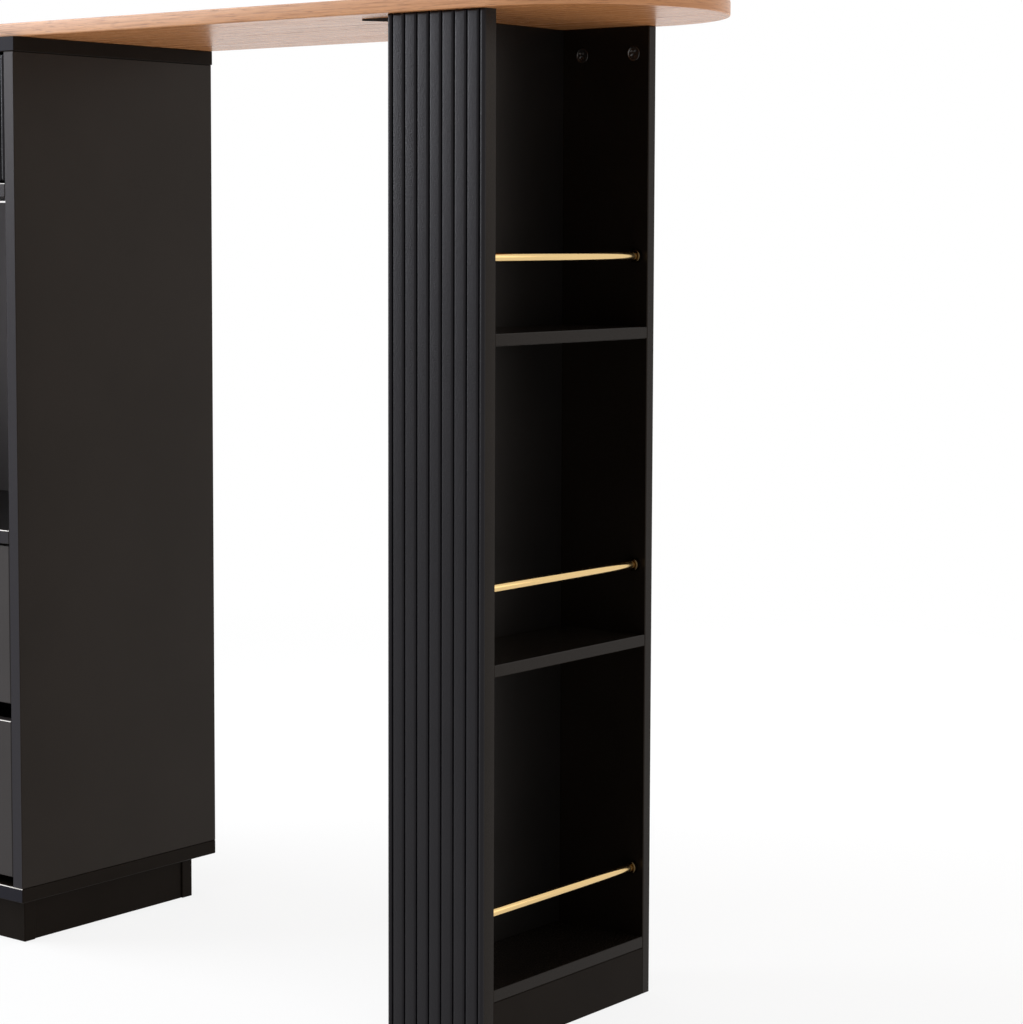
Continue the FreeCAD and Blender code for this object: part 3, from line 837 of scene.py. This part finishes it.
print("discs have", DISC_SIDES, "sides")

# %% Make the cam locks
CAM_RADIUS, CAM_PROUD, CAM_SUNK = 0.0075, 0.0006, 0.002
CAM_ROUND, RIM_WIDTH, FLOOR_INSET, FLOOR_STEP, FLOOR_RINGS = 0.0003, 0.0012, 0.0016, 0.0006, 30
# half the width of an arm, its reach from the middle and its depth
CAM_CROSS = (0.0008, 0.0042, 0.0016)


def cam_profile():
    """From inside the panel up to a rounded rim, down a step, and in over a flat floor."""
    hidden = [(CAM_RADIUS * HIDDEN_SHARE, -CAM_SUNK), (CAM_RADIUS, -CAM_SUNK)]
    rim = quarter(CAM_RADIUS - CAM_ROUND, CAM_PROUD - CAM_ROUND, CAM_ROUND, 0, 90)
    inner = np.linspace(CAM_RADIUS - FLOOR_INSET, MIDDLE, FLOOR_RINGS)
    floor = np.stack([inner, np.full_like(inner, CAM_PROUD - FLOOR_STEP)], axis=-1)
    return np.concatenate([hidden, rim, [(CAM_RADIUS - RIM_WIDTH, CAM_PROUD)], floor])


def make_cams():
    """Two discs on the front panel's inner face and two on the back panel's: the closed side ends there."""
    low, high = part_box("cam_locks")
    side_low, side_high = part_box("tower_closed_side")
    cams = []
    for x in (low.x + CAM_RADIUS, high.x - CAM_RADIUS):
        for y, side in ((side_low.y, 1), (side_high.y, -1)):
            points, faces = driven_disc(cam_profile(), CAM_CROSS)
            cams.append((aimed(points, (x, y, (low.z + high.z) / 2), (0, side, 0)), faces))
    piece = add_piece("cam_discs", *joined(cams), "island", "zinc_steel", finishes["cam_zinc"])
    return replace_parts(piece, "cam_locks")


print("cams", len(make_cams().data.polygons), "faces")


# %% [markdown]
# ### Screw heads
# Two steel angle brackets, towards the front and the back, tie the tower's closed side to the worktop.
# Their screws have pan heads: a short upright edge under a shallow dome. A squashed sphere would come
# close, but has no upright edge, so the dome is a quarter of an ellipse that starts part of the way up.

# %% Make the bracket's screw heads
HEAD_RADIUS, HEAD_HEIGHT, HEAD_EDGE, HEAD_RINGS = 0.004, 0.0024, 0.35, 34
HEAD_CROSS = (0.0005, 0.0022, 0.0012)
SCREW_INSET, SCREW_SPACING, SHEET = 0.014, 0.024, 0.0016


def head_profile():
    """A pan head: a short upright edge, then a shallow dome."""
    turn = np.linspace(0, np.pi / 2, HEAD_RINGS)
    height = HEAD_HEIGHT * (HEAD_EDGE + (1 - HEAD_EDGE) * np.sin(turn))
    dome = np.stack([HEAD_RADIUS * np.cos(turn), height], axis=-1)
    dome[-1, 0] = MIDDLE
    return np.concatenate([[(HEAD_RADIUS * HIDDEN_SHARE, 0), (HEAD_RADIUS, 0)], dome])


def make_bracket_screws():
    """Two heads under each bracket's level leaf and two on its upright leaf, set in from the corners."""
    heads = []
    for name, inward in (("front_angle_bracket", 1), ("back_angle_bracket", -1)):
        low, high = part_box(name)
        square_y, far_y = (low.y, high.y) if inward > 0 else (high.y, low.y)
        near, far = square_y + inward * SCREW_INSET, far_y - inward * SCREW_INSET
        inset_x = high.x - SCREW_INSET
        seats = [((inset_x, near, high.z - SHEET), (0, 0, -1)),
                 ((inset_x - SCREW_SPACING, near, high.z - SHEET), (0, 0, -1)),
                 ((high.x - SHEET, near, low.z + SCREW_INSET), (-1, 0, 0)),
                 ((high.x - SHEET, far, low.z + SCREW_INSET), (-1, 0, 0))]
        for seat, axis in seats:
            points, faces = driven_disc(head_profile(), HEAD_CROSS)
            heads.append((aimed(points, seat, axis), faces))
    piece = add_piece("bracket_screw_heads", *joined(heads), "island", "zinc_steel", finishes["zinc_steel"])
    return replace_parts(piece, "bracket_screws")


print("screw heads", len(make_bracket_screws().data.polygons), "faces")


# %% [markdown]
# ## The camera
# The photograph looks at the island from its front right, from a little below the worktop. A camera
# could be nudged by eye, but straight edges say more: place, turn and focal length were worked out from
# them. The small shift stands for a picture cut from a larger one.

# %% Place the camera
# sizes of the picture, the focal length and the optical centre, in pixels
PICTURE_WIDTH, PICTURE_HEIGHT = 1023, 1024
FOCAL = 2592.9
CENTRE = (506.8, 430.5)
SENSOR = 36
PLACE = Vector((1.9735, -2.0350, 0.7946))
YAW, PITCH, ROLL = math.radians(38.248), math.radians(-4.454), math.radians(0.180)


def make_camera():
    """Forward from yaw and pitch, right level with the floor, then both turned by the roll."""
    forward = Vector((-math.sin(YAW) * math.cos(PITCH), math.cos(YAW) * math.cos(PITCH), math.sin(PITCH)))
    level = Vector((math.cos(YAW), math.sin(YAW), 0))
    above = level.cross(forward)
    right = level * math.cos(ROLL) + above * math.sin(ROLL)
    up = above * math.cos(ROLL) - level * math.sin(ROLL)
    long_side = max(PICTURE_WIDTH, PICTURE_HEIGHT)
    data = bpy.data.cameras.new("camera")
    data.sensor_width = SENSOR
    data.lens = FOCAL * SENSOR / long_side
    data.shift_x = (PICTURE_WIDTH / 2 - CENTRE[0]) / long_side
    data.shift_y = (CENTRE[1] - PICTURE_HEIGHT / 2) / long_side
    camera = bpy.data.objects.new("camera", data)
    turn = Matrix((right, up, -forward)).transposed().to_4x4()
    camera.matrix_world = Matrix.Translation(PLACE) @ turn
    bpy.context.collection.objects.link(camera)
    bpy.context.scene.camera = camera
    return camera


print("camera lens", round(make_camera().data.lens, 2))


# %% [markdown]
# ## Floor and light
# A white studio: a pale floor that keeps the island's soft shadow, and an even white surround. Both
# could be made white with more light, but that would wash out the oak. Instead they look white to the
# camera and in reflections, and light the island with less.

# %% The surround
WHITE = (1, 1, 1, 1)
SURROUND_LIGHT = 0.24


def seen_by_eye(tree):
    """1 for what the camera sees, straight, reflected or through glass, and 0 for all other light."""
    path = tree.nodes.new("ShaderNodeLightPath")
    seen = math_node(tree, "MAXIMUM", path.outputs["Is Camera Ray"], path.outputs["Is Glossy Ray"])
    return math_node(tree, "MAXIMUM", seen, path.outputs["Is Transmission Ray"])


def make_surround():
    """A white world whose strength is 1 to the eye and less for the light it gives."""
    world = bpy.data.worlds.new("surround")
    bpy.context.scene.world = world
    world.use_nodes = True
    tree = world.node_tree
    background = tree.nodes["Background"]
    background.inputs["Color"].default_value = WHITE
    strength = ramp_node(tree, seen_by_eye(tree), 0.0, 1.0, SURROUND_LIGHT, 1.0)
    tree.links.new(strength, background.inputs["Strength"])
    return world


print("world", make_surround().name)


# %% [markdown]
# ### The floor
# The floor keeps a soft shadow and fades into the surround. A shadow catcher would need compositing.
# Here a lit surface is mixed with plain white, and the share of white grows with the distance from the
# island.

# %% Make the floor
FLOOR_HALF, FLOOR_COLOUR, FLOOR_ROUGHNESS = 30.0, (0.9, 0.9, 0.9), 0.9
# the share of plain white that the eye sees near the island and far from it, and those two distances
WHITE_NEAR, WHITE_FAR, NEAR, FAR = 0.85, 1.0, 0.9, 2.6
# the share of plain white in all other light, such as what the floor throws back at the island
FLOOR_GLOW = 0.2


def floor_material():
    """A lit pale surface mixed with plain white: mostly white to the eye, and more so farther away."""
    material, tree, shader = new_material("pale_floor", FLOOR_COLOUR, FLOOR_ROUGHNESS, specular=0.0)
    glow = tree.nodes.new("ShaderNodeEmission")
    glow.inputs["Color"].default_value = WHITE
    where = tree.nodes.new("ShaderNodeTexCoord")
    away = tree.nodes.new("ShaderNodeVectorMath")
    away.operation = "LENGTH"
    tree.links.new(where.outputs["Object"], away.inputs[0])
    own_white = ramp_node(tree, away.outputs["Value"], NEAR, FAR, WHITE_NEAR, WHITE_FAR)
    seen = math_node(tree, "MULTIPLY", seen_by_eye(tree), own_white)
    mixed = tree.nodes.new("ShaderNodeMixShader")
    tree.links.new(math_node(tree, "MAXIMUM", seen, FLOOR_GLOW), mixed.inputs[0])
    tree.links.new(shader.outputs[0], mixed.inputs[1])
    tree.links.new(glow.outputs[0], mixed.inputs[2])
    tree.links.new(mixed.outputs[0], tree.nodes["Material Output"].inputs["Surface"])
    return material


def make_floor():
    """One large square at the island's feet."""
    corners = [(x * FLOOR_HALF, y * FLOOR_HALF, 0.0) for x, y in ((-1, -1), (1, -1), (1, 1), (-1, 1))]
    mesh = bpy.data.meshes.new("floor")
    mesh.from_pydata(corners, [], [[0, 1, 2, 3]])
    mesh.materials.append(floor_material())
    floor = bpy.data.objects.new("floor", mesh)
    bpy.context.collection.objects.link(floor)
    return floor


print("floor", tuple(round(length, 1) for length in make_floor().dimensions))


# %% [markdown]
# ### The lamps
# Large soft lamps stand at the left, at the right and overhead, as in a studio. Two fills, beyond the
# worktop's tip and low behind the island, lift its underside. A picture of a studio could light it too,
# but lamps can be set one by one, and a fill can be kept out of the gloss.

# %% Set the lamps
def add_lamp(name, place, target, size, power, colour, mirrored=True):
    """A square soft lamp aimed at its target; the camera never sees it, and gloss only if mirrored."""
    data = bpy.data.lights.new(name, "AREA")
    data.shape = "SQUARE"
    data.size = size
    data.energy = power
    data.color = colour
    lamp = bpy.data.objects.new(name, data)
    aim = (Vector(target) - Vector(place)).to_track_quat("-Z", "Y").to_matrix().to_4x4()
    lamp.matrix_world = Matrix.Translation(place) @ aim
    lamp.visible_camera = False
    lamp.visible_glossy = mirrored
    bpy.context.collection.objects.link(lamp)


COOL, WARM, EVEN = (0.9, 0.94, 1.0), (1.0, 0.9, 0.8), (1.0, 1.0, 1.0)
AMBER, SOFT = (1.0, 0.84, 0.68), (1.0, 0.97, 0.93)
add_lamp("left_lamp", (-3.2, -1.6, 2.4), (0, 0, 0.6), size=3.0, power=196, colour=COOL)
add_lamp("right_lamp", (3.4, 1.6, 2.0), (0.2, 0, 0.6), size=2.4, power=14, colour=WARM)
add_lamp("overhead_lamp", (0, 0, 3.2), (0, 0, 0), size=3.0, power=45, colour=EVEN)
add_lamp("tip_lamp", (2.8, -0.8, 0.5), (0.5, 0, 0.95), size=1.0, power=12, colour=AMBER, mirrored=False)
add_lamp("low_lamp", (0.3, 2.5, 0.2), (0.1, 0, 1.0), size=1.8, power=92, colour=SOFT, mirrored=False)
bpy.context.scene.view_settings.view_transform = "Standard"
